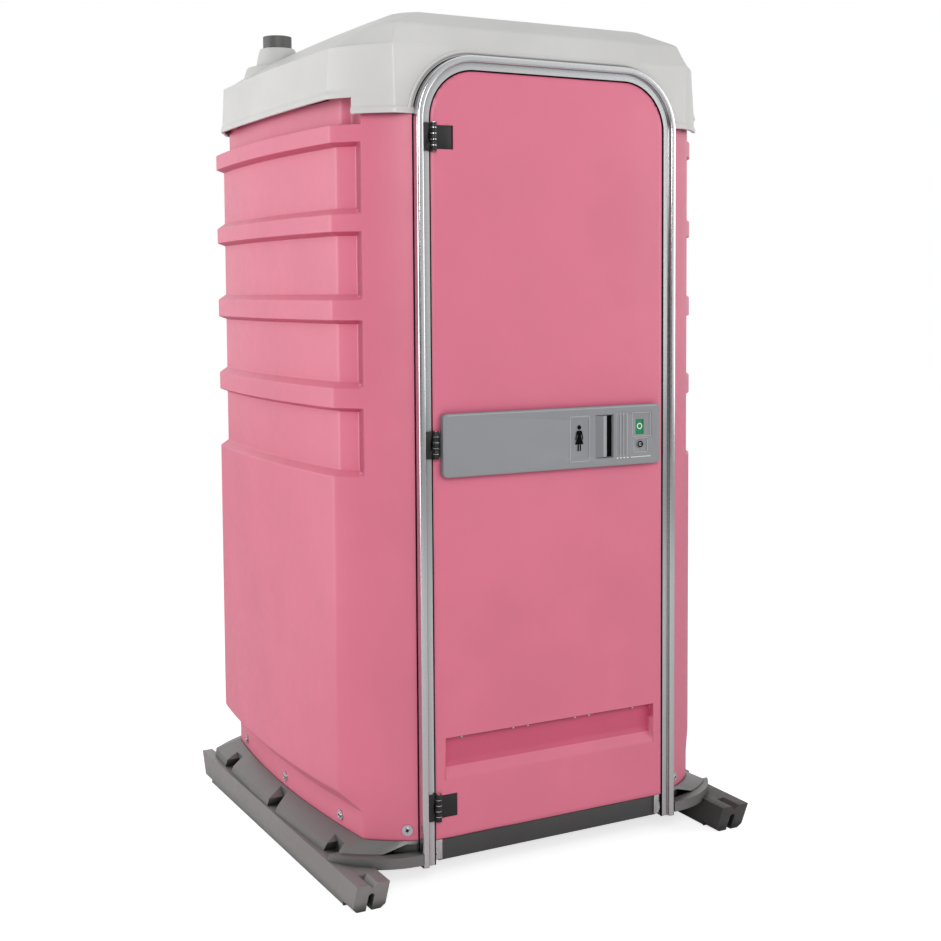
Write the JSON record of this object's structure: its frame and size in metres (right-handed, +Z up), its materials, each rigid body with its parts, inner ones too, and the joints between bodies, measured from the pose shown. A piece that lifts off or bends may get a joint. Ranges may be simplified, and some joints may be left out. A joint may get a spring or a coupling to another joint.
{
  "type": "portable toilet cabin",
  "caption": "Moulded portable toilet cabin on two skids with a ribbed shell, domed roof, framed door with indicator lock, and a waste tank with seat and lid.",
  "frame": {"origin": "on the ground, under the middle of the skids", "axes": "+Z up, -Y out of the door, +X to the right as seen from the door"},
  "size_m": [1.216, 1.232, 2.315],
  "materials": {
    "pink_shell": "satin moulded polyethylene, coloured through",
    "roof_shell": "satin, slightly translucent pale grey",
    "dark_base": "matt dark grey with fine grain",
    "tank_shell": "satin dark grey",
    "seat_black": "half gloss black",
    "lock_grey": "satin mid grey",
    "black_plastic": "satin black",
    "frame_aluminium": "drawn, satin",
    "plated_steel": "zinc plated",
    "coin_barrel": "cast and plated",
    "flag_red": "gloss",
    "flag_green": "gloss",
    "pipe_grey": "extruded, satin",
    "paper_white": "soft paper"
  },
  "bodies": {
    "cabin": {"left_wall": "pink_shell", "right_wall": "pink_shell", "back_wall": "pink_shell", "seam_rivets": "plated_steel", "roof": "roof_shell", "base_pan": "dark_base", "skid_left": "dark_base", "skid_right": "dark_base", "skid_bolts": "plated_steel", "wall_bolts": "plated_steel", "door_frame": "frame_aluminium", "threshold": "dark_base", "frame_feet": "plated_steel", "foot_screws": "plated_steel", "hinge_frame_leaves": "black_plastic", "strike_plate": "plated_steel", "tank": "tank_shell", "seat_brackets": "black_plastic", "seat_rod": "plated_steel", "vent_pipe": "pipe_grey", "wall_vent_screens": "black_plastic", "paper_holder": "black_plastic", "paper_spindle": "black_plastic"},
    "door": {"door_outer_skin": "pink_shell", "door_inner_skin": "pink_shell", "door_vent_screens": "black_plastic", "vent_pegs": "black_plastic", "hinge_door_leaves": "black_plastic", "hinge_pins": "plated_steel", "lock_plate": "lock_grey", "latch_guide": "black_plastic", "latch_case": "black_plastic", "pull_handle": "black_plastic", "coat_hook": "black_plastic"},
    "lock_spindle": {"lock_barrel": "coin_barrel", "lock_crank": "plated_steel", "turn_lever": "black_plastic"},
    "sliding_bolt": {"latch_bolt": "plated_steel", "flag_red": "flag_red", "flag_green": "flag_green", "flag_stem": "plated_steel"},
    "seat_ring": {"seat": "seat_black"},
    "seat_lid": {"lid": "seat_black"},
    "front_roll": {"paper_roll_1": "paper_white"},
    "rear_roll": {"paper_roll_2": "paper_white"}
  },
  "joints": [
    {"name": "door_hinge", "type": "hinge", "parent": "cabin", "child": "door", "pos_m": [-0.3505, -0.553, 1.155], "axis": [0, 0, -1], "range_deg": [0, 110]},
    {"name": "lock_turn", "type": "hinge", "parent": "door", "child": "lock_spindle", "pos_m": [0.267, -0.53, 1.126], "axis": [0, 1, 0], "range_deg": [0, 90]},
    {"name": "bolt_slide", "type": "slide", "parent": "door", "child": "sliding_bolt", "axis": [1, 0, 0], "range_m": [0, 0.027]},
    {"name": "seat_hinge", "type": "hinge", "parent": "cabin", "child": "seat_ring", "pos_m": [0, 0.455, 0.566], "axis": [-1, 0, 0], "range_deg": [0, 92]},
    {"name": "lid_hinge", "type": "hinge", "parent": "cabin", "child": "seat_lid", "pos_m": [0, 0.455, 0.566], "axis": [-1, 0, 0], "range_deg": [-95, 0]},
    {"name": "front_roll_turn", "type": "hinge", "parent": "cabin", "child": "front_roll", "pos_m": [0.5074, 0.179, 0.79], "axis": [0, 1, 0], "continuous": true},
    {"name": "rear_roll_turn", "type": "hinge", "parent": "cabin", "child": "rear_roll", "pos_m": [0.5074, 0.291, 0.79], "axis": [0, 1, 0], "continuous": true}
  ],
  "couplings": [
    {"joint": "lock_turn", "follows": "bolt_slide", "rad_per_m": 58.177}
  ]
}
